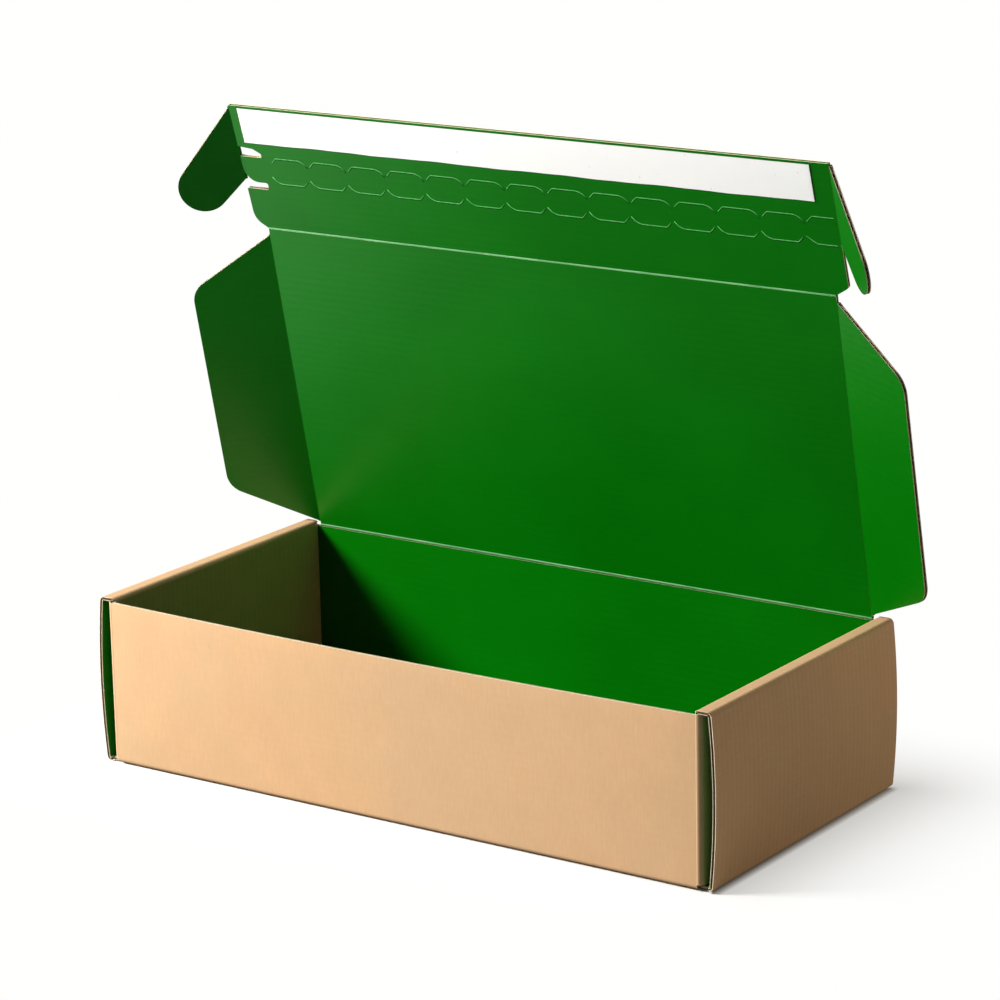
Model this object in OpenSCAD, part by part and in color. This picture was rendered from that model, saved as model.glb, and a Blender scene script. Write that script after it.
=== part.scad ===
// Roll-end mailer box of thin corrugated board, standing open. One die-cut sheet makes the
// tray, the lid, its side flaps, the closing flap and its two ears. Every crease that moves
// has a round knuckle on its axis, in the middle of the board.
// Frame: origin in the middle of the underside, X along the width, front towards -Y, Z up.

/* [Board] */
// Thickness of the corrugated board
board_t = 1.6; // [1.2:0.1:2.2]
// Inner radius of a fold that is closed for good
fold_in = 0.6; // [0.3:0.1:1.2]
// Free space between a crease knuckle and the panel beside it
crease_gap = 0.2; // [0.1:0.05:0.4]
// Free space between two layers that lie on each other
layer_gap = 0.2; // [0.1:0.05:0.4]

/* [Tray] */
// Outer width at the foot of the side walls
tray_w = 300; // [220:5:400]
// Outer depth from the front wall to the back wall
tray_d = 142; // [136:1:240]
// Height of the rolled rims
rim_h = 72; // [60:1:100]
// Outer width of a rolled rim
rim_w = 8; // [7.6:0.1:12]
// How far the front wall's cut edge lies below the rims
front_drop = 1.8; // [1.8:0.1:6]
// How far the front wall's cut edge bows out at its middle while no flap presses on it
front_bow = 3.2; // [0.2:0.1:5]
// How far the back crease lies below the rims
crease_drop = 1; // [0.8:0.1:3]
// How far a side wall bows out at half height
side_bow = 1.7; // [0.5:0.1:3]
// How far the cut ends of the side walls lie behind the front and back faces
side_setback = 0.8; // [0.4:0.1:3]
// Width of the slot that takes an ear, beside the corner flap
ear_slot = 3; // [2.4:0.1:3.2]
// Length of the corner flaps between the two layers of a side wall
corner_flap_l = 58; // [40:1:66]
// Bevel at the free end of a corner flap
corner_flap_bevel = 9; // [3:1:20]

/* [Floor locks] */
// Length of a lock tab of the inner side panels
tab_l = 24; // [14:1:34]
// Distance of a lock tab from the middle of the side
tab_y = 38; // [24:1:46]
// Free space round a tab in its slot
tab_play = 0.3; // [0.2:0.1:0.8]
// Depth by which a tab stays inside the underside
tab_short = 0.3; // [0.1:0.1:0.8]

/* [Lid] */
// Lid angle from closed, 90 is upright
lid_angle = 78; // [60:1:180]
// Play between the lid's side flaps and the inner side panels
lid_play = 0.4; // [0.2:0.1:1]
// Play between the closed front flap and the front wall
front_play = 0.6; // [0.5:0.1:1.5]

/* [Lid side flaps] */
// Fold of the left flap from flat
left_fold = 27; // [0:1:90]
// Fold of the right flap from flat
right_fold = 24; // [0:1:90]
// Reach of a side flap from its crease
side_flap_w = 38.5; // [34:0.5:60]
// Where the rear slanted edge leaves the crease
side_flap_start = 1.5; // [1:0.5:6]
// Where the front slanted edge meets the crease, before the lid's front crease
side_flap_end = 3.4; // [3.2:0.1:8]
// Run of the rear slanted edge along the crease
side_flap_rear = 20; // [10:1:60]
// Run of the front slanted edge along the crease
side_flap_fore = 23; // [6:1:40]
// Radius of the side flap's corners
side_flap_r = 10; // [3:1:12]

/* [Closing flap] */
// Fold of the closing flap against the lid
front_fold = 5; // [0:1:60]
// Depth of the closing flap
front_flap_l = 58; // [52:1:68]
// Slant of the closing flap's ends beside the crease
front_flap_bevel = 4; // [2:0.5:8]
// Radius of the closing flap's lower left corner
front_flap_r = 7; // [2:0.5:9]
// Height of the tear strip's lower cut line above the crease
tear_low = 22; // [20:1:24]
// Height of the tear strip's upper cut line above the crease
tear_high = 34; // [30:1:35]
// Pitch of the scallops of the tear strip
scallop_pitch = 20.2; // [18:0.1:24]
// Depth of a scallop's cusp
scallop_depth = 3; // [1.8:0.1:3.5]
// Width of a die-cut line
cut_w = 0.4; // [0.3:0.05:0.6]
// Length of the uncut nick between two scallops
nick = 1.4; // [1:0.1:4]
// Depth of the two thumb notches at the left end
notch_l = 12; // [8:0.5:15]
// Height of the upper thumb notch
notch_high_h = 4.6; // [3:0.1:6]
// Height of the lower thumb notch
notch_low_h = 3.2; // [2:0.1:5]
// Radius of the tear tab's lower corner
tear_tab_r = 7; // [4:0.5:9]

/* [Ears] */
// Fold of the left ear from flat
left_ear_fold = 30; // [0:1:90]
// Fold of the right ear from flat
right_ear_fold = 43; // [0:1:90]
// Reach of an ear from its crease to its round end
ear_w = 30; // [28:1:50]
// Radius of an ear's round end
ear_r = 11; // [6:0.5:12]
// Height of the round end's centre above the lid crease
ear_tip = 21.5; // [14:0.5:30]
// Height above the lid crease where the ear's lower edge meets its own crease
ear_low = 23; // [23:1:30]
// Distance of the ear's upper corner from the flap's free edge
ear_top = 1; // [0.5:0.1:3]

/* [Adhesive strip] */
// Width of the adhesive tape and of its release liner
liner_w = 16; // [10:0.5:18]
// Distance of the liner from the flap's free edge
liner_edge = 1; // [1:0.1:4]
// Distance of the liner from the left ear crease
liner_left = 5; // [3:0.5:20]
// Distance of the liner from the right ear crease
liner_right = 9; // [3:0.5:20]
// Thickness of the adhesive tape
tape_t = 0.2; // [0.1:0.05:0.3]
// Thickness of the release liner
liner_t = 0.15; // [0.1:0.05:0.25]

/* [Hidden] */
$fn = 64;
eps = 0.01;
fold_out = fold_in + board_t;
half_t = board_t / 2;
// Distance from a crease's axis to the cut end of the panel beside it
panel_end = half_t + crease_gap;
wall_x = tray_w / 2;
inner_x = wall_x - rim_w;
corner_x = wall_x - board_t - ear_slot;
front_y = -tray_d / 2;
hinge_y = tray_d / 2 - half_t;
hinge_z = rim_h - crease_drop;
front_h = rim_h - front_drop;
back_h = hinge_z - panel_end;
under_rim = rim_h - board_t - layer_gap;
lid_half = inner_x - half_t - lid_play;
lid_l = hinge_y - front_y + half_t + front_play;
ear_x = corner_x + ear_slot / 2;
wall_half = corner_x - fold_out;
rise = rim_h - 2 * fold_out;
bow_r = rise * rise / (8 * side_bow) + side_bow / 2;
kraft = "#C89C6C";
green = "#0A6E14";

function unit(v) = v / norm(v);
function turn(a) = a > 180 ? a - 360 : a < -180 ? a + 360 : a;
// Points of the fillet of radius r at corner b between a and c
function fillet(a, b, c, r, n) =
    let (u = unit(a - b), v = unit(c - b), half = acos(u * v) / 2)
    let (m = b + unit(u + v) * r / sin(half))
    let (p = b + u * r / tan(half) - m, q = b + v * r / tan(half) - m)
    let (a0 = atan2(p[1], p[0]), da = turn(atan2(q[1], q[0]) - a0))
    [for (i = [0 : n]) m + r * [cos(a0 + da * i / n), sin(a0 + da * i / n)]];
// Outline with a fillet at each corner whose radius isn't nought
function rounded(p, r, n = 8) =
    [for (i = [0 : len(p) - 1])
        each r[i] == 0 ? [p[i]] :
            fillet(p[(i + len(p) - 1) % len(p)], p[i], p[(i + 1) % len(p)], r[i], n)];

// Quarter of a fold, from pointing down to pointing to +X, its centre at the origin
module quarter_fold() {
    intersection() {
        difference() {
            circle(fold_out);
            circle(fold_in);
        }
        translate([0, -fold_out]) square(fold_out);
    }
}

// Section of the right side wall in X and Z, from the floor fold over the rim to the inside
module side_section() {
    translate([wall_x - fold_out, fold_out]) quarter_fold();
    intersection() {
        translate([wall_x + side_bow - bow_r, rim_h / 2]) difference() {
            circle(bow_r, $fn = 256);
            circle(bow_r - board_t, $fn = 256);
        }
        translate([wall_x - fold_out, fold_out]) square([3 * fold_out, rise]);
    }
    translate([wall_x - fold_out, rim_h - fold_out]) mirror([0, 1]) quarter_fold();
    translate([inner_x + fold_out, rim_h - board_t]) square([rim_w - 2 * fold_out, board_t]);
}

// Inner layer of a side wall with its two lock tabs
module inner_side() {
    inner_l = tray_d - 2 * (board_t + layer_gap);
    translate([inner_x, -inner_l / 2, board_t])
        cube([board_t, inner_l, rim_h - fold_out - board_t]);
    for (s = [-1, 1])
        translate([inner_x, s * tab_y - tab_l / 2, tab_short])
            cube([board_t, tab_l, board_t]);
}

// Corner flap with its corner fold, for the corner at +X and +Y
module corner_flap() {
    y0 = tray_d / 2 - fold_out;
    translate([corner_x - fold_out, y0, fold_out]) linear_extrude(front_h - fold_out)
        mirror([0, 1]) quarter_fold();
    translate([corner_x, 0, 0]) rotate([0, -90, 0]) linear_extrude(board_t)
        polygon([
            [board_t + layer_gap, y0],
            [board_t + layer_gap, y0 - corner_flap_l + corner_flap_bevel],
            [board_t + layer_gap + corner_flap_bevel, y0 - corner_flap_l],
            [under_rim - corner_flap_bevel, y0 - corner_flap_l],
            [under_rim, y0 - corner_flap_l + corner_flap_bevel],
            [under_rim, y0]
        ]);
}

module side_half() {
    side_l = tray_d - 2 * side_setback;
    translate([0, side_l / 2, 0]) rotate([90, 0, 0]) linear_extrude(side_l) side_section();
    inner_fold_l = tray_d - 2 * side_setback;
    translate([inner_x + fold_out, inner_fold_l / 2, rim_h - fold_out]) rotate([90, 0, 0])
        linear_extrude(inner_fold_l) rotate(180) quarter_fold();
    inner_side();
    for (m = [0, 1]) mirror([0, m, 0]) corner_flap();
}

// Floor fold of the front or back wall, for the side at +Y
module end_fold() {
    translate([wall_half, 0, 0]) rotate([90, 0, -90]) linear_extrude(2 * wall_half)
        translate([-tray_d / 2 + fold_out, fold_out]) mirror([1, 0]) quarter_fold();
}

module back_wall() {
    end_fold();
    translate([-wall_half, tray_d / 2 - board_t, fold_out])
        cube([2 * wall_half, board_t, back_h - fold_out]);
}

// The front wall's foot is straight, and its cut edge bows out between the corner folds. Board
// bends one way at a time, so each half of the bow fans out from a lower corner.
module front_wall() {
    n = 24;
    lower = 2 * n + 2;
    edge = [for (i = [0 : n]) let (u = 2 * i / n - 1) [u * wall_half, front_y - front_bow * (1 - u * u)]];
    corners = concat(
        [for (p = edge) [p[0], p[1], front_h]],
        [for (p = edge) [p[0], p[1] + board_t, front_h]],
        [for (y = [front_y, front_y + board_t], x = [-wall_half, wall_half]) [x, y, fold_out]]
    );
    fans = [for (i = [0 : n - 1])
        let (side = i < n / 2 ? 0 : 1)
        each [
            [lower + side, i, i + 1],
            [lower + 2 + side, n + 2 + i, n + 1 + i],
            [i, n + 1 + i, n + 2 + i, i + 1]
        ]];
    mirror([0, 1, 0]) end_fold();
    polyhedron(corners, concat(fans, [
        [lower, n / 2, lower + 1],
        [lower + 2, lower + 3, n + 1 + n / 2],
        [lower, lower + 1, lower + 3, lower + 2],
        [lower, lower + 2, n + 1, 0],
        [lower + 1, n, 2 * n + 1, lower + 3]
    ]));
}

module tray_floor() {
    floor_x = wall_x - fold_out;
    floor_y = tray_d / 2 - fold_out;
    difference() {
        translate([-floor_x, -floor_y, 0]) cube([2 * floor_x, 2 * floor_y, board_t]);
        for (sx = [-1, 1], sy = [-1, 1])
            translate([sx * (inner_x + half_t), sy * tab_y, half_t])
                cube([board_t + 2 * tab_play, tab_l + 2 * tab_play, 2 * board_t], center = true);
    }
}

module tray() color(kraft) {
    tray_floor();
    back_wall();
    front_wall();
    for (m = [0, 1]) mirror([m, 0, 0]) side_half();
}

// Lid frame: y runs from the back crease to the closing flap, z points to the printed side
module in_lid() {
    translate([0, hinge_y, hinge_z]) rotate([180 - lid_angle, 0, 0]) children();
}

module in_front_flap() {
    in_lid() translate([0, lid_l, 0]) rotate([front_fold, 0, 0]) children();
}

// Round knuckle of a crease along y
module knuckle(y0, y1) {
    translate([0, y0, 0]) rotate([-90, 0, 0]) cylinder(h = y1 - y0, r = half_t, $fn = 32);
}

module sheet() {
    translate([0, 0, -half_t]) linear_extrude(board_t) children();
}

module lid_panel() color(green) in_lid() {
    half_w = lid_half - panel_end;
    sheet() translate([-half_w, 0]) square([2 * half_w, lid_l - panel_end]);
    rotate([0, 0, -90]) knuckle(-half_w, half_w);
}

// Side flap in its own frame: x runs away from the crease, y along it
module side_flap() {
    y1 = lid_l - side_flap_end;
    sheet() polygon(rounded([
        [0, side_flap_start],
        [side_flap_w, side_flap_start + side_flap_rear],
        [side_flap_w, y1 - side_flap_fore],
        [0, y1]
    ], [0, side_flap_r, side_flap_r, 0]));
    knuckle(side_flap_start, y1);
}

module lid_side_flap_right() color(green)
    in_lid() translate([lid_half, 0, 0]) rotate([0, -right_fold, 0]) side_flap();

module lid_side_flap_left() color(green)
    in_lid() mirror([1, 0, 0]) translate([lid_half, 0, 0]) rotate([0, -left_fold, 0]) side_flap();

// One end piece of the closing flap's outline, from the crease up to the free edge at +X
end_low_x = ear_x;
end_high_x = ear_x - panel_end;

// Cut line along the given points, as wide as the die's blade leaves it
module cut_line(p) {
    n = len(p);
    polygon(concat(p, [for (i = [n - 1 : -1 : 0]) p[i] + [0, cut_w]]));
}

// One scallop to the right of the cusp at x: a short slope and a long one with a flat between
// them. The upper line has its long slope at the right, and the lower line at the left.
function scallop(x, y, up) =
    let (l = scallop_pitch - nick)
    let (shape = [[0, 0.8], [2.6, 0], [l - 4.6, 0], [l - 3, 0.15], [l - 1.6, 0.4], [l, 1]])
    [for (p = shape) [x + (up > 0 ? nick + p[0] : l - p[0]), y - up * p[1] * scallop_depth]];

module tear_lines() {
    count = floor((2 * end_high_x - 2 * notch_l) / scallop_pitch);
    x0 = -count * scallop_pitch / 2;
    last = end_high_x - 1.5;
    for (i = [0 : count - 1]) {
        cut_line(scallop(x0 + i * scallop_pitch, tear_high, 1));
        cut_line(scallop(x0 + i * scallop_pitch, tear_low, -1));
    }
    cut_line([[-x0 + nick, tear_high - 0.8 * scallop_depth], [-x0 + nick + 2.6, tear_high], [last, tear_high]]);
    cut_line([[-x0, tear_low + scallop_depth], [-x0 + 4.6, tear_low], [last, tear_low]]);
}

// The two thumb notches beside the tear tab, at the left end of the closing flap
module thumb_notches() {
    left = -end_low_x - 1;
    tip = -end_low_x + notch_l;
    polygon(rounded([
        [left, tear_high],
        [tip, tear_high],
        [tip, tear_high + notch_high_h * 0.4],
        [tip - 4, tear_high + notch_high_h * 0.85],
        [left, tear_high + notch_high_h]
    ], [0, 0.4, 0.8, 2.5, 0], 5));
    polygon(concat(
        [[left, tear_low - notch_low_h]],
        fillet([left, tear_low - notch_low_h], [tip, tear_low - notch_low_h],
            [tip, tear_low], notch_low_h / 3, 5),
        fillet([tip, tear_low - notch_low_h], [tip, tear_low],
            [left, tear_low], notch_low_h / 3, 5),
        fillet([tip, tear_low], [-end_high_x, tear_low],
            [-end_high_x, tear_high], tear_tab_r, 8),
        [[-end_high_x, tear_high], [left, tear_high]]
    ));
}

module front_flap() color(green) in_front_flap() {
    low_x = end_low_x - crease_gap;
    sheet() difference() {
        union() {
            polygon(rounded([
                [-lid_half + panel_end, 0],
                [lid_half - panel_end, 0],
                [low_x, front_flap_bevel],
                [low_x, ear_low - 1],
                [-low_x, ear_low - 1],
                [-low_x, front_flap_bevel]
            ], [0, 0, 2, 0, 0, front_flap_r]));
            translate([-end_high_x, ear_low - 1 - eps])
                square([2 * end_high_x, front_flap_l - ear_low + 1 + eps]);
        }
        tear_lines();
        thumb_notches();
    }
    rotate([0, 0, -90]) knuckle(-lid_half + panel_end, lid_half - panel_end);
}

// Ear in its own frame: x runs away from the crease, y is the height above the lid crease
module ear() {
    top = front_flap_l - ear_top;
    c = [ear_w - ear_r, ear_tip];
    // Tangents from the two ends of the crease to the round end
    d1 = c - [0, top];
    d0 = c - [0, ear_low];
    a1 = atan2(d1[1], d1[0]) + 90 + asin(ear_r / norm(d1));
    a0 = atan2(d0[1], d0[0]) - 90 - asin(ear_r / norm(d0));
    sheet() polygon(concat(
        [[0, ear_low]],
        [for (i = [0 : 24]) c + ear_r * [cos(a0 + (a1 - a0) * i / 24), sin(a0 + (a1 - a0) * i / 24)]],
        [[0, top]]
    ));
    knuckle(ear_low, top);
}

module ear_right() color(green)
    in_front_flap() translate([ear_x, 0, 0]) rotate([0, -right_ear_fold, 0]) ear();

module ear_left() color(green)
    in_front_flap() mirror([1, 0, 0]) translate([ear_x, 0, 0])
        rotate([0, -left_ear_fold, 0]) ear();

// Strip on the printed side of the closing flap, from height z0 over the board
module flap_strip(z0, t) {
    x0 = -ear_x + liner_left;
    translate([x0, front_flap_l - liner_edge - liner_w, half_t + z0])
        cube([ear_x - liner_right - x0, liner_w, t]);
}

module adhesive_tape() color("ivory") in_front_flap() flap_strip(eps, tape_t);

module release_liner() color("white") in_front_flap() flap_strip(tape_t + 2 * eps, liner_t);

tray();
lid_panel();
lid_side_flap_left();
lid_side_flap_right();
front_flap();
ear_left();
ear_right();
adhesive_tape();
release_liner();
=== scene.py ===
import math

import bmesh
import bpy
from mathutils import Matrix, Vector


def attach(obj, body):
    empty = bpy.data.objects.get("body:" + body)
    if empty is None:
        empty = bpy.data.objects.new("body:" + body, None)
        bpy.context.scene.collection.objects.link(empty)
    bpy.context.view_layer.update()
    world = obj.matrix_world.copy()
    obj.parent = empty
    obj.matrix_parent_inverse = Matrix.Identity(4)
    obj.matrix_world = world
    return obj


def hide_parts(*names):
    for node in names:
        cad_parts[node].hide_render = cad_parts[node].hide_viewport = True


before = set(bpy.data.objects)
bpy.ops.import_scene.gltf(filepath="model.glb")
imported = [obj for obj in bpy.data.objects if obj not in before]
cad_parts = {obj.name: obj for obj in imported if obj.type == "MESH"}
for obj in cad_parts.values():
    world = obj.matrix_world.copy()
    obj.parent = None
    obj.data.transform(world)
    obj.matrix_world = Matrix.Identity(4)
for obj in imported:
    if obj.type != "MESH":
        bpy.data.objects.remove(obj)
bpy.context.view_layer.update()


# Tray
# The tray is folded from one die-cut sheet of thin corrugated board: a brown liner outside,
# a green printed liner inside and fluted paper between them. The side walls roll over the
# corner flaps and lock into slots in the floor.

# Lengths are in millimetres, and MM turns them into metres
MM = 0.001
BOARD = 1.6
HALF = BOARD / 2
LINER = 0.34
# How far the paper on a crushed edge lies inside the cut, and the room between two boards
CRUSHED = 0.12
CLEAR = 0.2
# One flute's length, the gap from it to the liners, its swing about the middle and its mesh
# steps, which are fewer where the board is rolled
FLUTE = 3.2
FLUTE_GAP = 0.1
SWING = HALF - LINER - FLUTE_GAP
FLUTE_STEPS = 8
ROLLED_FLUTE_STEPS = 6
# The fluting ends this far inside the liners' cut edges
SET_BACK = 0.5
# A fold's outer radius and the radius of the board's middle in it
FOLD = 2.2
MID = FOLD - HALF
TRAY_W = 300.0
TRAY_D = 142.0
RIM_H = 72.0
RIM_W = 8.0
# The corner flaps leave this gap inside the side walls for the ears
EAR_SLOT = 3.0
CORNER_X = TRAY_W / 2 - BOARD - EAR_SLOT
INNER_X = TRAY_W / 2 - RIM_W
KRAFT = (0.67, 0.435, 0.245)
KRAFT_WARM = (0.69, 0.425, 0.225)
GREEN = (0.0008, 0.133, 0.001)
GREEN_LIGHT = (0.0012, 0.148, 0.002)


class Sock:
    """One socket of a material's nodes; Python's operators on it add the Math nodes."""

    def __init__(self, tree, out=None):
        self.tree = tree
        self.out = out

    def node(self, kind, settings=None, **values):
        """Adds a node: settings are its properties, values its sockets by name or number."""
        made = self.tree.nodes.new(kind)
        for key, value in (settings or {}).items():
            setattr(made, key, value)
        for key, value in values.items():
            numbered = key[0] == "i" and key[1:].isdigit()
            spot = made.inputs[int(key[1:]) if numbered else key.replace("_", " ")]
            if isinstance(value, Sock):
                self.tree.links.new(value.out, spot)
            elif isinstance(value, tuple) and len(value) == 3 and spot.type == "RGBA":
                spot.default_value = (*value, 1)
            else:
                spot.default_value = value
        return made

    def of(self, made, name=0):
        """The named or numbered output of a node."""
        return Sock(self.tree, made.outputs[name])

    def maths(self, operation, other=None, flip=False, clamp=False):
        first, second = (other, self) if flip else (self, other)
        values = {"i0": first} if second is None else {"i0": first, "i1": second}
        settings = {"operation": operation, "use_clamp": clamp}
        return self.of(self.node("ShaderNodeMath", settings, **values))

    def __add__(self, other):
        return self.maths("ADD", other)

    __radd__ = __add__

    def __sub__(self, other):
        return self.maths("SUBTRACT", other)

    def __rsub__(self, other):
        return self.maths("SUBTRACT", other, flip=True)

    def __mul__(self, other):
        return self.maths("MULTIPLY", other)

    __rmul__ = __mul__

    def sine(self):
        return self.maths("SINE")

    def clamped(self):
        return self.maths("ADD", 0.0, clamp=True)

    def varying(self, share):
        """Noise of 0 to 1 as a change of tone about nought, share wide."""
        return (self - 0.5) * share

    def between(self, low, high):
        """0 below low, 1 above high and smooth between them."""
        return self.of(self.node("ShaderNodeMapRange", {"interpolation_type": "SMOOTHSTEP"},
                                 Value=self, From_Min=low, From_Max=high))

    def mix(self, first, second):
        """The first colour where this is 0, and the second where it is 1."""
        made = self.node("ShaderNodeMix", {"data_type": "RGBA"}, i0=self, i6=first, i7=second)
        return self.of(made, 2)

    def times(self, factor):
        """A colour, made lighter or darker by another socket."""
        made = self.node("ShaderNodeVectorMath", {"operation": "SCALE"}, i0=self, i3=factor)
        return self.of(made)

    def noise(self, detail=3.0, rough=0.5):
        """Soft noise of about 0 to 1 on this vector."""
        made = self.node("ShaderNodeTexNoise", Vector=self, Scale=1.0, Detail=detail, Roughness=rough)
        return self.of(made)

    def stretched(self, x, y):
        """The sheet's coordinates with x and y grains to the metre."""
        return self.of(self.node("ShaderNodeMapping", Vector=self, Scale=(x, y, 1.0)))

    def axes(self):
        made = self.node("ShaderNodeSeparateXYZ", i0=self)
        return [self.of(made, i) for i in range(3)]


def finish(name, sheen, rough=0.5):
    """A new paper finish; returns it, the sheet's own coordinates in metres and its shader."""
    made = bpy.data.materials.new(name)
    made.use_nodes = True
    blank = Sock(made.node_tree)
    sheet = blank.of(blank.node("ShaderNodeUVMap", {"uv_map": "sheet"}))
    shader = made.node_tree.nodes["Principled BSDF"]
    shader.inputs["Roughness"].default_value = rough
    shader.inputs["Specular IOR Level"].default_value = sheen
    return made, sheet, shader


def wire(sock, shader, name):
    sock.tree.links.new(sock.out, shader.inputs[name])


def bumped(height, shader, depth, strength):
    """Raises the surface by height, depth metres at most."""
    made = height.node("ShaderNodeBump", Strength=strength, Distance=depth, Height=height)
    wire(height.of(made), shader, "Normal")


def washboard(sheet, uneven):
    """The flutes' print-through on a liner: one soft wave for each flute, uneven along it."""
    across, _, _ = sheet.axes()
    wave = (across * (2 * math.pi / (FLUTE * MM))).sine() * 0.5 + 0.5
    patches = sheet.stretched(110, 12).noise(detail=3.0).between(0.3, 0.7)
    return wave * (patches * uneven + (1 - uneven))


def kraft_liner(name, rib_relief_and_shade):
    """The brown outside; the second argument says how far the flutes show through: as bump relief, and as
    painted shade across the flute ridges in the tone, more on the rolled sides.
    """
    made, sheet, shader = finish(name, sheen=0.25)
    cloud = sheet.stretched(9, 9).noise(detail=4.0, rough=0.55)
    fibre = sheet.stretched(160, 900).noise(detail=3.0, rough=0.7)
    blot = sheet.stretched(46, 60).noise(detail=4.0, rough=0.6)
    wave = washboard(sheet, uneven=0.6)
    # The flute wave in the tone is painted shade across the ridges: the light and dark that grazing light
    # gives them
    tone = cloud.varying(0.14) + fibre.varying(0.19) + blot.varying(0.12) + wave.varying(rib_relief_and_shade) + 1.0
    warm = cloud.between(0.35, 0.7).mix(KRAFT, KRAFT_WARM)
    wire(warm.times(tone), shader, "Base Color")
    wire(fibre * 0.12 + 0.66, shader, "Roughness")
    height = wave * (0.15 + rib_relief_and_shade * 2) + fibre * 0.2 + blot * 0.2
    bumped(height, shader, depth=0.00011, strength=0.8)
    return made


def green_liner():
    """The printed inside: an even, slightly glossy ink that still shows the paper's grain."""
    made, sheet, shader = finish("green_print", sheen=0.46)
    cloud = sheet.stretched(14, 10).noise(detail=3.0)
    fibre = sheet.stretched(700, 200).noise(detail=3.0, rough=0.65)
    wave = washboard(sheet, uneven=0.5)
    tone = cloud.varying(0.14) + fibre.varying(0.1) + wave.varying(0.05) + 1.0
    base = cloud.between(0.3, 0.75).mix(GREEN, GREEN_LIGHT)
    wire(base.times(tone), shader, "Base Color")
    wire(fibre * 0.12 + 0.28, shader, "Roughness")
    bumped(wave * 0.5 + fibre * 0.3 + cloud * 0.1, shader, depth=0.00004, strength=0.8)
    return made


def raw_paper_and_cut_shade(name, light, dark):
    """Unprinted paper inside the board and on its cut edges, and the painted shade in the tear lines' cuts.
    """
    made, sheet, shader = finish(name, sheen=0.15, rough=0.85)
    fibre = sheet.stretched(1200, 900).noise(detail=3.0, rough=0.7)
    wire(fibre.between(0.3, 0.7).mix(dark, light), shader, "Base Color")
    bumped(fibre, shader, depth=0.00006, strength=0.6)
    return made


outside = kraft_liner("kraft_liner", rib_relief_and_shade=0.01)
# The rolled side walls' copy paints stronger shade across the flute ridges
rolled = kraft_liner("kraft_liner_rolled_rib_shade", rib_relief_and_shade=0.07)
inside = green_liner()
raw_back = raw_paper_and_cut_shade("raw_liner_back", (0.36, 0.21, 0.10), (0.22, 0.12, 0.055))
cut_kraft = raw_paper_and_cut_shade("cut_liner_edge", (0.95, 0.86, 0.68), (0.86, 0.72, 0.50))
cut_green = raw_paper_and_cut_shade("cut_printed_edge", (0.90, 0.82, 0.60), (0.66, 0.62, 0.38))
fluting = raw_paper_and_cut_shade("fluting", (0.42, 0.31, 0.15), (0.26, 0.18, 0.08))
# Each layer takes three finishes in a row: its face, its back and its cut edge
BOARD_FINISHES = [outside, raw_back, cut_kraft, inside, raw_back, cut_green, fluting, fluting, cut_kraft]
OUT = 0
CUT = 2
IN = 3
CORE = 6
TRAY_FINISHES = BOARD_FINISHES + [rolled, raw_back, cut_kraft]
ROLLED = 9


def sheet_grid(bm, across, along, place, slot, outward):
    """One paper layer: a grid whose points place(a, b) puts on the folded board, with its
    outer face on the side that outward(a, b) points to."""
    columns = len(across) - 1
    rows = len(along) - 1
    made = bmesh.ops.create_grid(bm, x_segments=columns, y_segments=rows, size=1)
    uv = bm.loops.layers.uv.get("sheet") or bm.loops.layers.uv.new("sheet")
    flat = {}
    way_out = {}
    for v in made["verts"]:
        a = across[round((v.co.x + 1) / 2 * columns)]
        b = along[round((v.co.y + 1) / 2 * rows)]
        v.co, flat[v] = place(a, b)
        way_out[v] = outward(a, b)
    faces = list(dict.fromkeys(f for v in made["verts"] for f in v.link_faces))
    for f in faces:
        f.material_index = slot
        f.smooth = True
        for loop in f.loops:
            loop[uv].uv = (flat[loop.vert][0] * MM, flat[loop.vert][1] * MM)
    largest = max(faces, key=lambda f: f.calc_area())
    largest.normal_update()
    if largest.normal.dot(way_out[largest.verts[0]]) < 0:
        bmesh.ops.reverse_faces(bm, faces=faces)
    return faces


# A turn under this radius is a fold, and any other is a wall's slow bow
TIGHT_RADIUS = 10.0
# Their mesh steps in degrees
FOLD_STEP = 12.0
BOW_STEP = 1.2
# Stops this near each other are one, and lengths this near each other are equal
NEAR_DOUBLE = 1e-4
ROUNDING = 1e-6


def fold_path(start, steps):
    """A board's middle line: runs in mm and turns (radius, degrees). Gives lookup and stops."""
    parts = []
    x, y = start
    heading = 0.0
    s = 0.0
    stops = [s]
    for step in steps:
        if isinstance(step, tuple):
            radius = step[0]
            turn = math.radians(step[1])
            length = radius * turn
            x, y = x - math.sin(heading) * radius, y + math.cos(heading) * radius
            parts.append((s, s + length, x, y, heading, radius, turn))
            heading += turn
            x, y = x + math.sin(heading) * radius, y - math.cos(heading) * radius
            n = max(2, math.ceil(step[1] / (FOLD_STEP if radius < TIGHT_RADIUS else BOW_STEP)))
            stops += [s + length * i / n for i in range(1, n + 1)]
        else:
            length = step
            parts.append((s, s + length, x, y, heading, None, 0.0))
            x, y = x + math.cos(heading) * length, y + math.sin(heading) * length
            stops.append(s + length)
        s += length

    def at(s, off):
        """The point at s along the line and off to its outer side."""
        for begin, end, px, py, first, radius, turn in parts:
            if s <= end + ROUNDING:
                break
        if radius is None:
            run = s - begin
            return (px + math.cos(first) * run + math.sin(first) * off,
                    py + math.sin(first) * run - math.cos(first) * off)
        now = first + turn * (s - begin) / (end - begin)
        return px + math.sin(now) * (radius + off), py - math.cos(now) * (radius + off)

    return at, stops


def spread(low, high, step):
    """Even stops from low to high, about a step apart."""
    n = max(1, round((high - low) / step))
    return [low + (high - low) * i / n for i in range(n + 1)]


def merged(*lists):
    """One rising list of stops without near doubles."""
    out = []
    for value in sorted(v for one in lists for v in one):
        if not out or value - out[-1] > NEAR_DOUBLE:
            out.append(value)
    return out


def flute(s):
    """How far the fluting stands off the board's middle at s across the flutes."""
    return SWING * math.sin(s * 2 * math.pi / FLUTE)


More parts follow.
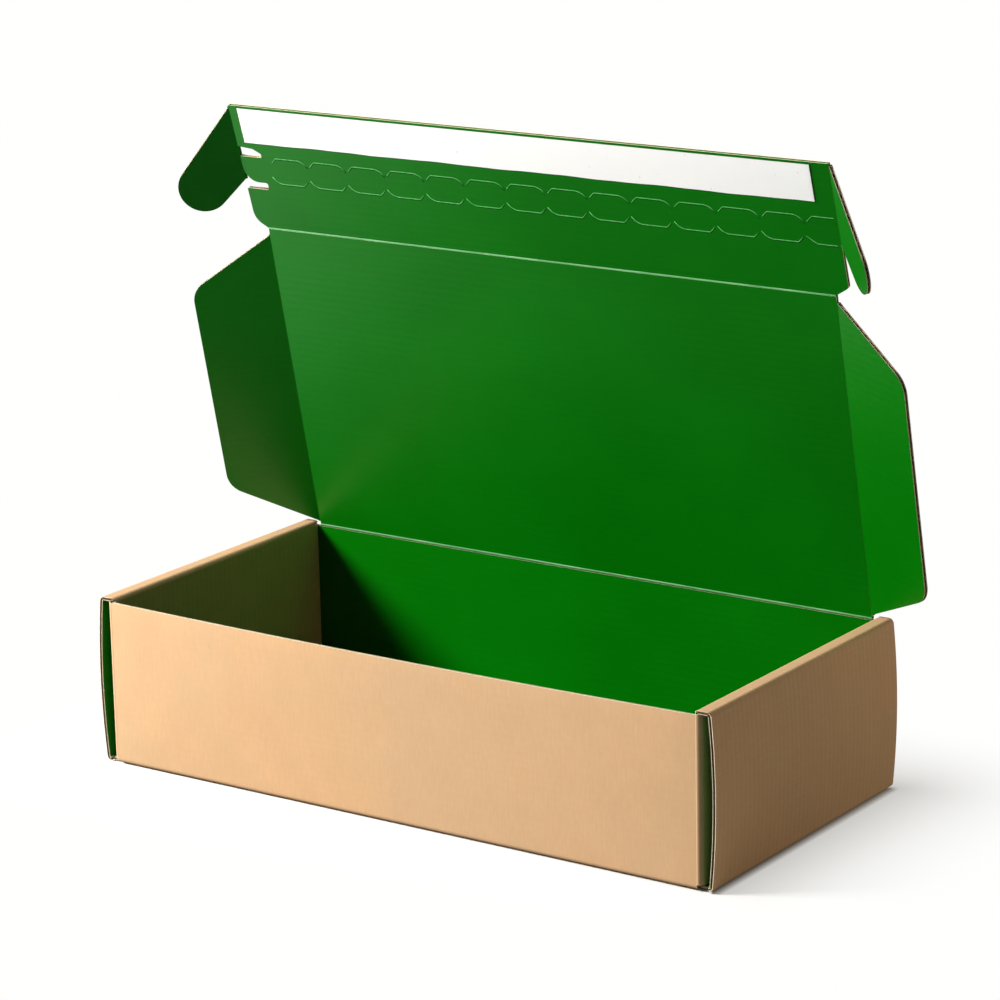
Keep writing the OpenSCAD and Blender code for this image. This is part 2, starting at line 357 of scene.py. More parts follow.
def three_layers(bm, stops, low, high, at, to_3d, flutes_along_path, columns=2, skin=OUT):
    """Both liners and the fluting of a folded strip; low and high give its width at s."""
    def point(s, t, off):
        w = low(s) + (high(s) - low(s)) * t
        return to_3d(*at(s, off), w) * MM, ((w, s) if flutes_along_path else (s, w))

    def core(s, t):
        w = low(s) + SET_BACK + (high(s) - low(s) - 2 * SET_BACK) * t
        return to_3d(*at(s, flute(w if flutes_along_path else s)), w) * MM, (w, s)

    for off, slot in ((HALF, skin), (-HALF, IN)):
        sheet_grid(bm, stops, spread(0.0, 1.0, 1 / columns),
                   lambda s, t, off=off: point(s, t, off), slot,
                   lambda s, t, off=off: point(s, t, off)[0] - point(s, t, 0)[0])
    if flutes_along_path:
        s_stops = [min(max(s, SET_BACK), stops[-1] - SET_BACK) for s in stops]
        width = high(stops[0]) - low(stops[0]) - 2 * SET_BACK
        t_stops = spread(0.0, 1.0, FLUTE / ROLLED_FLUTE_STEPS / width)
    else:
        s_stops = spread(SET_BACK, stops[-1] - SET_BACK, FLUTE / FLUTE_STEPS)
        t_stops = spread(0.0, 1.0, 1 / columns)
    sheet_grid(bm, s_stops, t_stops, core, CORE, lambda s, t: point(s, t, HALF)[0] - point(s, t, 0)[0])


def paper_object(bm, name, body, nodes, finishes, thick=LINER):
    """Makes the mesh an object whose every layer has the paper's thickness and a cut edge."""
    data = bpy.data.meshes.new(name)
    bm.to_mesh(data)
    bm.free()
    made = bpy.data.objects.new(name, data)
    bpy.context.scene.collection.objects.link(made)
    for one in finishes:
        data.materials.append(one)
    thickness = made.modifiers.new("paper", "SOLIDIFY")
    thickness.thickness = thick * MM
    thickness.offset = -1
    thickness.material_offset = 1
    thickness.material_offset_rim = 2
    made.modifiers.new("flat_stretches_stay_flat", "WEIGHTED_NORMAL").keep_sharp = True
    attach(made, body)
    if nodes:
        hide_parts(*nodes)
    return made


tray = bmesh.new()
# Floor, with a slot for each lock tab
TAB_Y = 38.0
TAB_L = 24.0
PLAY = 0.3
floor_x = TRAY_W / 2 - FOLD
floor_y = TRAY_D / 2 - FOLD
slot_x = (INNER_X - PLAY, INNER_X + BOARD + PLAY)
slot_y = (TAB_Y - TAB_L / 2 - PLAY, TAB_Y + TAB_L / 2 + PLAY)
xs = merged([-floor_x, floor_x], slot_x, [-x for x in slot_x], [0.0])
ys = merged([-floor_y, floor_y], slot_y, [-y for y in slot_y], [0.0])
for height, slot in ((0.0, OUT), (BOARD, IN)):
    made = sheet_grid(tray, xs, ys, lambda a, b, z=height: (Vector((a, b, z)) * MM, (b, a)), slot,
                      lambda a, b, z=height: Vector((0, 0, z - HALF)))
    gone = [f for f in made if slot_x[0] < abs(f.calc_center_median().x / MM) < slot_x[1]
            and slot_y[0] < abs(f.calc_center_median().y / MM) < slot_y[1]]
    bmesh.ops.delete(tray, geom=gone, context="FACES_ONLY")
sheet_grid(tray, [-floor_x, -slot_x[1], slot_x[1], floor_x], spread(-floor_y, floor_y, FLUTE / FLUTE_STEPS),
           lambda a, b: (Vector((a, b, HALF + flute(b))) * MM, (b, a)), CORE,
           lambda a, b: Vector((0, 0, -1)))
# Front and back walls; the front wall's cut edge bows out between the corner folds
FRONT_H = 70.2
BACK_H = 70.0
FRONT_BOW = 3.2
FRONT_ROW = 7.0
FRONT_COLUMNS = 24
TOP_EDGE_STEPS = 24
WALL_HALF = CORNER_X - FOLD


def upright(p, q, w):
    return Vector((w, p, q))


def bowed(p, q, w):
    """The front wall bulges most at the middle of its free edge and not at all at its folds."""
    rise = max(0.0, min(1.0, (q - FOLD) / (FRONT_H - FOLD)))
    reach = 1 - abs(w) / WALL_HALF
    out = 1 - (1 - min(1.0, reach / rise)) ** 2 if rise > 0 else 0.0
    return Vector((w, -p - FRONT_BOW * rise * out, q))


for height, to_3d, columns, edge in ((FRONT_H, bowed, FRONT_COLUMNS, CUT), (BACK_H, upright, 2, IN)):
    at, stops = fold_path((floor_y, HALF), [(MID, 90), height - FOLD])
    if to_3d is bowed:
        stops = merged(stops, spread(stops[-2], stops[-1], FRONT_ROW))
    three_layers(tray, stops, lambda s: -WALL_HALF, lambda s: WALL_HALF, at, to_3d, False, columns)
    # The die crushes the fluting along the walls' top edges, which closes them with paper
    top = stops[-1] - CRUSHED
    sheet_grid(tray, [LINER - HALF, HALF - LINER],
               spread(-WALL_HALF, WALL_HALF, 2 * WALL_HALF / TOP_EDGE_STEPS),
               lambda off, w: (to_3d(*at(top, off), w) * MM, (off, w)), edge,
               lambda off, w: Vector((0, 0, 1)))
# Side walls: up from the floor, over the rim and down inside, a little bowed outwards.
# They narrow in the fold at the rim, over a very short stretch
LEAN = 5.8
NARROWING = 0.05
INNER_H = RIM_H - FOLD - BOARD
lean_sine = math.sin(math.radians(LEAN))
bow_radius = (RIM_H - BOARD - 2 * MID * (1 - lean_sine)) / (2 * lean_sine)
at, stops = fold_path((floor_x, HALF), [
    (MID, 90 - LEAN), (bow_radius, 2 * LEAN), (MID, 90 - LEAN), RIM_W - 2 * FOLD, (MID, 90), INNER_H])
rim_end = stops[-1] - INNER_H - MID * math.pi / 4
outer_half = TRAY_D / 2 - HALF
inner_half = TRAY_D / 2 - BOARD - CLEAR
for side in (-1, 1):
    three_layers(tray, merged(stops, [rim_end + NARROWING]),
                 lambda s: -(outer_half if s <= rim_end else inner_half),
                 lambda s: outer_half if s <= rim_end else inner_half, at,
                 lambda p, q, w, side=side: Vector((side * p, w, q)), True, skin=ROLLED)
# Lock tabs through the floor slots
TAB_FOOT = 0.3
TAB_ROOT = BOARD + 0.4
TAB_STEP = 6.0
for side in (-1, 1):
    for end in (-1, 1):
        for face, slot in ((INNER_X, OUT), (INNER_X + BOARD, IN)):
            sheet_grid(tray, [TAB_FOOT, TAB_ROOT],
                       spread(end * TAB_Y - TAB_L / 2, end * TAB_Y + TAB_L / 2, TAB_STEP),
                       lambda a, b, x=side * face: (Vector((x, b, a)) * MM, (b, a)), slot,
                       lambda a, b, x=side * (face - INNER_X - HALF): Vector((x, 0, 0)))
# Corner flaps between the two layers of each side wall
FLAP_L = 58.0
FLAP_BEVEL = 9.0
bend = MID * math.pi / 2
for side in (-1, 1):
    for end, height in ((-1, FRONT_H), (1, BACK_H)):
        at, stops = fold_path((CORNER_X - FOLD, -TRAY_D / 2 + HALF),
                              [(MID, 90), FLAP_L - FLAP_BEVEL, FLAP_BEVEL])

        def bevel(s, tip=stops[-1]):
            """How much the flap is cut back at s, near its tip."""
            return max(0.0, s - tip + FLAP_BEVEL)

        def low(s):
            return FOLD if s <= bend + ROUNDING else BOARD + CLEAR + bevel(s)

        def high(s, height=height):
            return height if s <= bend + ROUNDING else RIM_H - BOARD - CLEAR - bevel(s)

        three_layers(tray, merged(stops, [bend + NARROWING]), low, high, at,
                     lambda p, q, w, side=side, end=end: Vector((side * p, -end * q, w)), True)
paper_object(tray, "folded_tray", "tray", ["tray"], TRAY_FINISHES)

# Lid
# The lid panel of the same board. It hangs on the scored crease along the back wall's top,
# with the printed side towards the tray; at the crease the ink is stretched and paler, and
# its pale colour also paints the crease's highlight.

# How far the lid is open, in degrees from shut
LID_ANGLE = 78.0
HINGE_Y = TRAY_D / 2 - HALF
HINGE_DROP = 1.0
HINGE_Z = RIM_H - HINGE_DROP
# A crease's round stops this far from the next one
CREASE_END = 0.45
# The side flaps' creases clear the inner walls, and the closing flap's clears the front wall
SIDE_PLAY = 0.4
FRONT_PLAY = 0.6
LID_HALF = INNER_X - HALF - SIDE_PLAY
LID_L = HINGE_Y + TRAY_D / 2 + HALF + FRONT_PLAY
# The flat panels' fluting ends this far inside their outline
FLAT_SET_BACK = 0.35
OFF_CORNER = 1e-5
# Radii of the paper round a crease, as shares of half the board: outside, and inside
# along a long crease and along a side crease
BEAD_OUT = 0.98
BEAD_LONG = 1.1
BEAD_SIDE = 1.04
BEAD_STEP = 15
in_lid = Matrix.Translation((0, HINGE_Y, HINGE_Z)) @ Matrix.Rotation(math.radians(180 - LID_ANGLE), 4, "X")


def crease_paper_and_highlight():
    """Printed paper along a crease: the score stretches the ink, so it is paler and uneven; the pale colour
    also paints the crease's highlight.
    """
    made, sheet, shader = finish("creased_print_and_highlight", sheen=0.5, rough=0.35)
    streak = sheet.stretched(300, 40).noise(detail=3.0, rough=0.6)
    wire(streak.between(0.25, 0.7).mix((0.09, 0.37, 0.12), (0.27, 0.58, 0.30)), shader, "Base Color")
    bumped(streak, shader, depth=0.0001, strength=0.7)
    return made


creased_with_highlight = crease_paper_and_highlight()
FLAT_FINISHES = BOARD_FINISHES + [creased_with_highlight] * 3
# Slot 9 is the pale crease print: stretched ink and a painted highlight along the long creases
SCORE_AND_HIGHLIGHT = 9


def flat_layer(bm, outline, z, slot, faces_down):
    """One liner of a flat panel, cut to the outline."""
    uv = bm.loops.layers.uv.get("sheet") or bm.loops.layers.uv.new("sheet")
    face = bm.faces.new([bm.verts.new(Vector((x, y, z)) * MM) for x, y in outline])
    face.normal_update()
    if (face.normal.z > 0) == faces_down:
        bmesh.ops.reverse_faces(bm, faces=[face])
    face.material_index = slot
    for loop in face.loops:
        loop[uv].uv = (loop.vert.co.y, loop.vert.co.x)


def crossings(outline, y):
    """Where a line across the outline at y enters and leaves it."""
    xs = []
    for (x0, y0), (x1, y1) in zip(outline, outline[1:] + outline[:1]):
        if (y0 - y) * (y1 - y) < 0:
            xs.append(x0 + (x1 - x0) * (y - y0) / (y1 - y0))
    return (min(xs), max(xs)) if xs else (0.0, 0.0)


def flat_board(bm, outline):
    """Both liners and the fluting of a flat panel, flutes along x."""
    flat_layer(bm, outline, -HALF, OUT, faces_down=True)
    flat_layer(bm, outline, HALF, IN, faces_down=False)
    ys = [y for _, y in outline]
    stops = spread(min(ys) + FLAT_SET_BACK, max(ys) - FLAT_SET_BACK, FLUTE / FLUTE_STEPS)

    def core(y, t):
        left, right = crossings(outline, y + OFF_CORNER)
        x = left + FLAT_SET_BACK + (right - left - 2 * FLAT_SET_BACK) * t
        return Vector((x, y, flute(y))) * MM, (y, x)

    sheet_grid(bm, stops, [0.0, 1.0], core, CORE, lambda a, b: Vector((0, 0, 1)))


def crease_roll(bm, along_x, low, high):
    """The rounded paper on a crease: brown outside, stretched print inside, which along a long crease is
    pale and paints a highlight.
    """
    def ray(a, w):
        c, s = math.cos(math.radians(a)), math.sin(math.radians(a))
        return Vector((0, c, s)) if along_x else Vector((c, 0, s))

    def place(a, w):
        radius = HALF * (BEAD_OUT if a > 180 else BEAD_LONG if along_x else BEAD_SIDE)
        point = ray(a, w) * radius + (Vector((w, 0, 0)) if along_x else Vector((0, w, 0)))
        return point * MM, (HALF * math.cos(math.radians(a)), w)

    for first, last, slot in ((180.1, 360, OUT), (0, 179.9, SCORE_AND_HIGHLIGHT if along_x else IN)):
        sheet_grid(bm, spread(first, last, BEAD_STEP), [low, high], place, slot, ray)


def placed(bm, matrix):
    """Takes a finished panel from its own frame to its place, by a matrix in millimetres."""
    moved = matrix.copy()
    moved.translation *= MM
    bmesh.ops.transform(bm, matrix=moved, verts=bm.verts)
    return bm


lid = bmesh.new()
panel_x = LID_HALF - CREASE_END
panel_y = LID_L - CREASE_END
flat_board(lid, [(-panel_x, 0), (panel_x, 0), (panel_x, panel_y), (-panel_x, panel_y)])
crease_roll(lid, True, -panel_x, panel_x)
paper_object(placed(lid, in_lid), "lid_board", "lid", ["lid_panel"], FLAT_FINISHES)

# Lid side flaps
# Two flaps scored to the lid's sides. They tuck down beside the side walls when the box is
# shut; their corners are die-cut round and the ends of the flutes show along the edge.

# Degrees that each is folded in from the lid's plane
LEFT_FOLD = 27.0
RIGHT_FOLD = 24.0
SIDE_W = 38.5
# Where each starts from the lid's hinge, and how far short of the lid's front it ends
SIDE_START = 1.5
SIDE_SHORT = 3.4
SIDE_END = LID_L - SIDE_SHORT
SIDE_REAR = 20.0
SIDE_FORE = 23.0
SIDE_R = 10.0
ROUND_STEPS = 10


def rounded(corners):
    """An outline with round corners, from its corners as (x, y, radius)."""
    out = []
    points = [Vector((x, y)) for x, y, _ in corners]
    for i, (x, y, r) in enumerate(corners):
        if r == 0:
            out.append((x, y))
            continue
        corner = points[i]
        back = (points[i - 1] - corner).normalized()
        on = (points[(i + 1) % len(points)] - corner).normalized()
        half = back.angle(on) / 2
        middle = corner + (back + on).normalized() * r / math.sin(half)
        first = corner + back * r / math.tan(half) - middle
        last = corner + on * r / math.tan(half) - middle
        start = math.atan2(first.y, first.x)
        turn = (math.atan2(last.y, last.x) - start + math.pi) % (2 * math.pi) - math.pi
        for k in range(ROUND_STEPS + 1):
            angle = start + turn * k / ROUND_STEPS
            out.append((middle.x + r * math.cos(angle), middle.y + r * math.sin(angle)))
    return out


def mirror(bm):
    """Turns a right-hand panel into a left-hand one."""
    bmesh.ops.scale(bm, vec=(-1, 1, 1), verts=bm.verts)
    bmesh.ops.reverse_faces(bm, faces=bm.faces)


flap_outline = rounded([
    (0, SIDE_START, 0), (SIDE_W, SIDE_START + SIDE_REAR, SIDE_R),
    (SIDE_W, SIDE_END - SIDE_FORE, SIDE_R), (0, SIDE_END, 0)])
for end, fold in (("right", RIGHT_FOLD), ("left", LEFT_FOLD)):
    flap = bmesh.new()
    flat_board(flap, flap_outline)
    crease_roll(flap, False, SIDE_START, SIDE_END)
    placed(flap, Matrix.Translation((LID_HALF, 0, 0)) @ Matrix.Rotation(math.radians(-fold), 4, "Y"))
    if end == "left":
        mirror(flap)
    node = "lid_side_flap_" + end
    paper_object(placed(flap, in_lid), "side_flap_" + end + "_board", node, [node], FLAT_FINISHES)

# Closing flap
# The flap that closes over the front wall. A tear strip runs across it between two die-cut
# scalloped lines, with a pull tab between two thumb notches at the left end.

# Degrees that the flap is folded in from the lid's plane
FRONT_FOLD = 5.0
FRONT_L = 58.0
FRONT_BEVEL = 4.0
BEVEL_R = 2.0
FRONT_R = 7.0
# The ears' creases stand a little outside the corner flaps; below the ears the flap is cut
# almost as wide, and beside them it makes room for the crease's round
EAR_OUT = 1.5
EAR_X = CORNER_X + EAR_OUT
EAR_LOW = 23.0
UNDER_EAR = EAR_LOW - 1.0
LOW_X = EAR_X - 0.2
HIGH_X = EAR_X - CREASE_END
TEAR_LOW = 22.0
TEAR_HIGH = 34.0
# Thumb notches above and below the pull tab: how deep, how high, and the upper one's nose
NOTCH_L = 12.0
NOTCH_HIGH = 4.6
NOTCH_LOW = 3.2
NOSE_L = 4.0
NOSE_TOP = 0.85
NOSE_TIP = 0.4
TAB_R = 7.0
in_front = in_lid @ Matrix.Translation((0, LID_L, 0)) @ Matrix.Rotation(math.radians(FRONT_FOLD), 4, "X")
crease_x = LID_HALF - CREASE_END
notch_x = -EAR_X + NOTCH_L
front_outline = rounded([
    (-crease_x, 0, 0),
    (crease_x, 0, 0),
    (LOW_X, FRONT_BEVEL, BEVEL_R),
    (LOW_X, UNDER_EAR, 0),
    (HIGH_X, UNDER_EAR, 0),
    (HIGH_X, FRONT_L, 0),
    (-HIGH_X, FRONT_L, 0),
    (-HIGH_X, TEAR_HIGH + NOTCH_HIGH, 0),
    (notch_x - NOSE_L, TEAR_HIGH + NOTCH_HIGH * NOSE_TOP, 2.5),
    (notch_x, TEAR_HIGH + NOTCH_HIGH * NOSE_TIP, 0.8),
    (notch_x, TEAR_HIGH, 0.4),
    (-HIGH_X, TEAR_HIGH, 0.5),
    (-HIGH_X, TEAR_LOW, TAB_R),
    (notch_x, TEAR_LOW, 1.0),
    (notch_x, TEAR_LOW - NOTCH_LOW, 1.0),
    (-LOW_X, TEAR_LOW - NOTCH_LOW, 0.6),
    (-LOW_X, FRONT_BEVEL, FRONT_R)])
front = bmesh.new()
flat_board(front, front_outline)
crease_roll(front, True, -crease_x, crease_x)
# The free edge is crushed by the die, and the print is pressed over it
CRUSHED_END = 0.1
sheet_grid(front, [LINER - HALF, HALF - LINER], [-HIGH_X + CRUSHED_END, HIGH_X - CRUSHED_END],
           lambda z, x: (Vector((x, FRONT_L - CRUSHED, z)) * MM, (z, x)), IN,
           lambda z, x: Vector((0, 1, 0)))
paper_object(placed(front, in_front), "closing_flap_board", "front_flap", ["front_flap"], FLAT_FINISHES)
# Scallops of the tear strip: their pitch, the bridge of whole board between two of them, how
# far they dip there and how long their two slopes are
PITCH = 20.2
NICK = 1.4
CUSP = 3.0
SHORT_SLOPE = 2.6
SHORT_DIP = 0.8
LONG_SLOPE = 4.6
LINE_END = 1.5
# Bends of the two slopes: how far from the scallop's end, and the dip as a share of CUSP
SHORT_BENDS = ((0, SHORT_DIP), (1.4, 0.32), (SHORT_SLOPE, 0))
LONG_BENDS = ((LONG_SLOPE, 0), (3.0, 0.15), (1.6, 0.4), (0, 1))


def lip_green_and_highlight():
    """Ink and paper lifted along a die-cut line, paler than the print: partly the lifted ink, partly a
    painted highlight on the raised edge.
    """
    made, sheet, shader = finish("cut_line_lip_and_highlight", sheen=0.5, rough=0.4)
    streak = sheet.stretched(500, 500).noise(detail=2.0)
    wire(streak.between(0.3, 0.7).mix((0.045, 0.36, 0.06), (0.13, 0.5, 0.15)), shader, "Base Color")
    bumped(streak, shader, depth=0.00005, strength=0.5)
    return made


def scallop(x, y, up):
    """A short slope, a flat and a long slope; the lower line has the long slope first."""
    run = PITCH - NICK
    shape = [*SHORT_BENDS, *((run - back, dip) for back, dip in LONG_BENDS)]
    return [(x + (NICK + a if up > 0 else run - a), y - up * dip * CUSP) for a, dip in shape]


count = int((2 * HIGH_X - 2 * NOTCH_L) // PITCH)
first_x = -count * PITCH / 2
last_x = -first_x
end_x = HIGH_X - LINE_END
lines = []
for i in range(count):
    lines.append(scallop(first_x + i * PITCH, TEAR_HIGH, 1))
    lines.append(scallop(first_x + i * PITCH, TEAR_LOW, -1))
lines.append([(last_x + NICK, TEAR_HIGH - SHORT_DIP * CUSP),
              (last_x + NICK + SHORT_SLOPE, TEAR_HIGH), (end_x, TEAR_HIGH)])
lines.append([(last_x, TEAR_LOW + CUSP), (last_x + LONG_SLOPE, TEAR_LOW), (end_x, TEAR_LOW)])
# The lips' pale green is partly lifted ink and partly a painted highlight
lip_and_highlight = lip_green_and_highlight()
# Painted shade: dark ribbons where the cuts' gaps lie in shadow, on the print and on the brown outside
slit_shade = raw_paper_and_cut_shade("cut_line_slit_shade", (0.012, 0.05, 0.012), (0.004, 0.02, 0.004))
back_slit_shade = raw_paper_and_cut_shade("cut_line_outside_shade", (0.30, 0.18, 0.09), (0.16, 0.09, 0.04))
# Each line is three ribbons: lifted paper with a painted highlight, painted shade in the cut beside it,
# and painted shade in the cut on the outside. Their heights are from the board's middle
for name, shift, width, height, thick, look, slot in (
        ("tear_line_lips", 0.15, 0.42, HALF + 0.10, 0.12, lip_and_highlight, "printed_board"),
        ("tear_line_slits", -0.2, 0.35, HALF + 0.03, 0.06, slit_shade, "printed_board"),
        ("tear_line_backs", 0.0, 0.4, -HALF - 0.02, 0.04, back_slit_shade, "board")):
    cut = bmesh.new()
    for line in lines:
        def ribbon(a, b, line=line):
            x, y = line[a]
            return Vector((x, y + shift + width * b, height)) * MM, line[a]

        sheet_grid(cut, list(range(len(line))), [0.0, 1.0], ribbon, 0, lambda a, b: Vector((0, 0, height)))
    paper_object(placed(cut, in_front), name, "front_flap", [], [look] * 3, thick)

# Ears
# An ear scored to each end of the closing flap slides into the slot beside the corner flap.
# It is of the same sheet, die-cut to one round end that both of its edges run into.

# Degrees that each is folded in from the closing flap's plane
LEFT_EAR = 30.0
RIGHT_EAR = 43.0
EAR_W = 30.0
EAR_R = 11.0
EAR_TIP = 21.5
EAR_TOP = FRONT_L - 1.0
EAR_STEPS = 24
round_middle = Vector((EAR_W - EAR_R, EAR_TIP))
from_top = round_middle - Vector((0, EAR_TOP))
from_low = round_middle - Vector((0, EAR_LOW))
top_angle = math.atan2(from_top.y, from_top.x) + math.pi / 2 + math.asin(EAR_R / from_top.length)
low_angle = math.atan2(from_low.y, from_low.x) - math.pi / 2 - math.asin(EAR_R / from_low.length)
ear_outline = [(0, EAR_LOW)]
for i in range(EAR_STEPS + 1):
    angle = low_angle + (top_angle - low_angle) * i / EAR_STEPS
    ear_outline.append((round_middle.x + EAR_R * math.cos(angle), round_middle.y + EAR_R * math.sin(angle)))
ear_outline.append((0, EAR_TOP))
for name, fold in (("ear_right", RIGHT_EAR), ("ear_left", LEFT_EAR)):
    ear = bmesh.new()
    flat_board(ear, ear_outline)
    crease_roll(ear, False, EAR_LOW, EAR_TOP)
    placed(ear, Matrix.Translation((EAR_X, 0, 0)) @ Matrix.Rotation(math.radians(-fold), 4, "Y"))
    if name == "ear_left":
        mirror(ear)
    paper_object(placed(ear, in_front), name + "_board", name, [name], FLAT_FINISHES)

# Adhesive strip
# Double-sided tape along the closing flap's free edge under a white release liner, whose
# paper has a soft gloss and slightly uneven cut edges.
STRIP_W = 16.0
STRIP_STEP = 2.0
# The strip stops short of the left ear, of the right ear and of the free edge
STRIP_LEFT = -EAR_X + 5.0
STRIP_RIGHT = EAR_X - 9.0
STRIP_HIGH = FRONT_L - 1.0
STRIP_LOW = STRIP_HIGH - STRIP_W
TAPE_INSET = 0.3
TAPE_TOP = HALF + 0.21
TAPE_THICK = 0.18
RELEASE_TOP = HALF + 0.37
RELEASE_THICK = 0.14
# Waves of the release liner's lower edge: size, turn for each millimetre and start
RAGGED = ((0.14, 0.11, 0.0), (0.06, 0.29, 1.0))


def release_paper():
    """White siliconed paper with a soft gloss and a few fine specks."""
    made, sheet, shader = finish("release_paper", sheen=0.5, rough=0.38)
    cloud = sheet.stretched(20, 8).noise(detail=3.0)
    speck = sheet.stretched(420, 420).noise(detail=2.0).between(0.70, 0.76)
    base = speck.mix((0.92, 0.92, 0.91), (0.72, 0.69, 0.66))
    wire(base.times(cloud.varying(0.06) + 1.0), shader, "Base Color")
    grain = sheet.stretched(300, 300).noise(detail=2.0)
    bumped(cloud + grain * 0.2, shader, depth=0.0002, strength=0.4)
    return made


def tape_gum():
    """The tape's cream-coloured glue, which shows only along its edges."""
    made, sheet, shader = finish("tape_gum", sheen=0.5, rough=0.3)
    cloud = sheet.stretched(60, 30).noise(detail=3.0)
    wire(cloud.mix((0.78, 0.74, 0.58), (0.85, 0.82, 0.70)), shader, "Base Color")
    bumped(cloud, shader, depth=0.0001, strength=0.5)
    return made


release_look = release_paper()
gum_look = tape_gum()
for name, node, top, thick, inset, waves, look in (
        ("tape_strip", "adhesive_tape", TAPE_TOP, TAPE_THICK, TAPE_INSET, (), gum_look),
        ("release_strip", "release_liner", RELEASE_TOP, RELEASE_THICK, 0.0, RAGGED, release_look)):
    strip = bmesh.new()

    def strip_point(x, t):
        ragged = sum(size * math.sin(x * turn + start) for size, turn, start in waves)
        y = STRIP_LOW + inset + (STRIP_W - 2 * inset) * t + ragged * (1 - t)
        return Vector((x, y, top)) * MM, (x, y)

    sheet_grid(strip, spread(STRIP_LEFT + inset, STRIP_RIGHT - inset, STRIP_STEP), [0.0, 0.5, 1.0],
               strip_point, 0, lambda x, t: Vector((0, 0, 1)))
    paper_object(placed(strip, in_front), name, "front_flap", [node], [look] * 3, thick)

# Studio
# A pale floor under soft light: a large lamp from the front left, a weak one above and a low
# warm one behind the right end. The floor stays white to the camera away from the box, and
# gloss sees a white card at the left and dark elsewhere.

# Lengths are in metres from here on
FLOOR_REACH = 6.0
FLOOR_DROP = 0.0006
FLOOR_WHITE = (0.95, 0.95, 0.935)
FLOOR_BOUNCE = (0.30, 0.30, 0.295)
PAPER_WHITE = (1, 1, 0.985)
# The box's half sizes on the floor, how far its shadow fades and how near contact is dark
BOX_X = 0.15
BOX_Y = 0.07
FADE = 0.08
CONTACT = 0.0035
CARD_EDGE = (0.25, 0.43)
AMBIENT = 0.05
floor_mesh = bmesh.new()
bmesh.ops.create_grid(floor_mesh, x_segments=1, y_segments=1, size=FLOOR_REACH)
bmesh.ops.translate(floor_mesh, vec=(0, 0, -FLOOR_DROP), verts=floor_mesh.verts)
floor_data = bpy.data.meshes.new("studio_floor")
floor_mesh.to_mesh(floor_data)
floor_mesh.free()
studio_floor = bpy.data.objects.new("studio_floor", floor_data)
bpy.context.scene.collection.objects.link(studio_floor)


def seen(blank):
    """1 for what the camera sees straight or through glass, 0 for light that bounces."""
    rays = blank.node("ShaderNodeLightPath")
    return blank.of(rays, "Is Camera Ray").maths("MAXIMUM", blank.of(rays, "Is Transmission Ray"))


paint = bpy.data.materials.new("floor_paint")
paint.use_nodes = True
matt = paint.node_tree.nodes["Principled BSDF"]
matt.inputs["Roughness"].default_value = 0.9
matt.inputs["Specular IOR Level"].default_value = 0.0
blank = Sock(paint.node_tree)
x, y, _ = blank.of(blank.node("ShaderNodeTexCoord"), "Object").axes()
beside = (x.maths("ABSOLUTE") - BOX_X).maths("MAXIMUM", 0.0)
before = (y.maths("ABSOLUTE") - BOX_Y).maths("MAXIMUM", 0.0)
apart = (beside * beside + before * before).maths("SQRT")
away = (apart * (1 / FADE)).clamped()
away = away * (2.0 - away)
shade = blank.node("ShaderNodeAmbientOcclusion", {"samples": 8}, Distance=CONTACT)
open_air = blank.of(shade, "AO")
wire(seen(blank).mix(FLOOR_BOUNCE, FLOOR_WHITE), matt, "Base Color")
white = blank.node("ShaderNodeEmission", Color=PAPER_WHITE, Strength=1.0)
dark = blank.node("ShaderNodeEmission", Color=(0, 0, 0), Strength=1.0)
lit = blank.node("ShaderNodeMixShader", i0=seen(blank) * (open_air * open_air) * (away * 0.5 + 0.5),
                 i1=Sock(paint.node_tree, matt.outputs[0]), i2=blank.of(white))
card = blank.node("ShaderNodeMixShader", i0=(x * -1.0).between(*CARD_EDGE),
                  i1=blank.of(dark), i2=blank.of(white))
glossy = blank.of(blank.node("ShaderNodeLightPath"), "Is Glossy Ray")
whole = blank.node("ShaderNodeMixShader", i0=glossy, i1=blank.of(lit), i2=blank.of(card))
wire(blank.of(whole), paint.node_tree.nodes["Material Output"], "Surface")
floor_data.materials.append(paint)

world = bpy.data.worlds.new("studio")
bpy.context.scene.world = world
world.use_nodes = True
ambient = world.node_tree.nodes["Background"]
ambient.inputs["Color"].default_value = (1, 1, 1, 1)
ambient.inputs["Strength"].default_value = AMBIENT
blank = Sock(world.node_tree)
white = blank.node("ShaderNodeBackground", Color=PAPER_WHITE, Strength=1.0)
whole = blank.node("ShaderNodeMixShader", i0=seen(blank),
                   i1=Sock(world.node_tree, ambient.outputs[0]), i2=blank.of(white))
wire(blank.of(whole), world.node_tree.nodes["World Output"], "Surface")


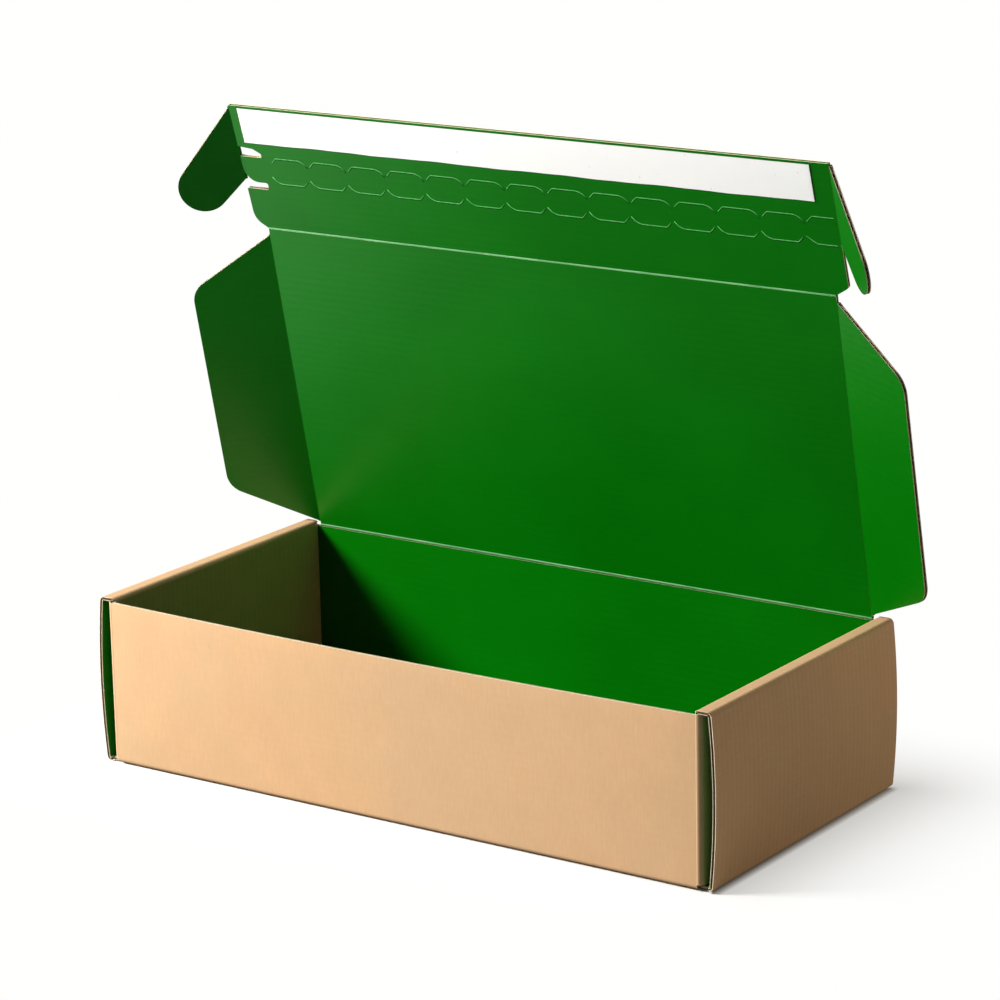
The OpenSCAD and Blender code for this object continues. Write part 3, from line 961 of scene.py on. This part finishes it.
def lamp(name, at, aim, wide, high, watts, tint):
    """A soft rectangular lamp from one point towards another, which gloss doesn't show."""
    data = bpy.data.lights.new(name, "AREA")
    data.shape = "RECTANGLE"
    data.size = wide
    data.size_y = high
    data.energy = watts
    data.color = tint
    made = bpy.data.objects.new(name, data)
    made.location = at
    made.rotation_euler = (Vector(aim) - Vector(at)).to_track_quat("-Z", "Y").to_euler()
    made.visible_glossy = False
    bpy.context.scene.collection.objects.link(made)


lamp("key", at=(-1.043, -0.833, 0.857), aim=(0, 0, 0.08),
     wide=0.39, high=0.39, watts=47.0, tint=(1.0, 0.99, 0.97))
lamp("top", at=(-0.30, -0.10, 1.20), aim=(0, 0, 0.07),
     wide=0.3, high=0.3, watts=2.6, tint=(1.0, 0.98, 0.94))
lamp("low_fill", at=(0.52, 0.42, 0.09), aim=(0.15, 0.02, 0.06),
     wide=0.4, high=0.03, watts=1.02, tint=(1.0, 0.88, 0.70))

# Camera
# It stands at the right front, a little above the rim. The lens is moved a little off its
# middle, as the photograph's framing needs.
AZIMUTH = math.radians(34.074)
ELEVATION = math.radians(14.363)
ROLL = math.radians(-1.0)
STAND = (0.86918, -1.23187, 0.52837)
FOCAL_PIXELS = 3827.6
FRAME_PIXELS = 1000
SENSOR = 36
SHIFT = -0.06
forward = Vector((-math.sin(AZIMUTH) * math.cos(ELEVATION),
                  math.cos(AZIMUTH) * math.cos(ELEVATION),
                  -math.sin(ELEVATION)))
right = Vector((math.cos(AZIMUTH), math.sin(AZIMUTH), 0))
up = right.cross(forward)
image_right = right * math.cos(ROLL) + up * math.sin(ROLL)
image_up = up * math.cos(ROLL) - right * math.sin(ROLL)
camera_data = bpy.data.cameras.new("camera")
camera_data.sensor_fit = "HORIZONTAL"
camera_data.sensor_width = SENSOR
camera_data.lens = FOCAL_PIXELS / FRAME_PIXELS * SENSOR
camera_data.shift_x = SHIFT
camera_data.shift_y = SHIFT
camera_data.clip_end = 50
camera = bpy.data.objects.new("camera", camera_data)
turned = Matrix((image_right, image_up, -forward)).transposed().to_4x4()
camera.matrix_world = Matrix.Translation(STAND) @ turned
bpy.context.scene.collection.objects.link(camera)
bpy.context.scene.camera = camera
bpy.context.scene.view_settings.view_transform = "Standard"
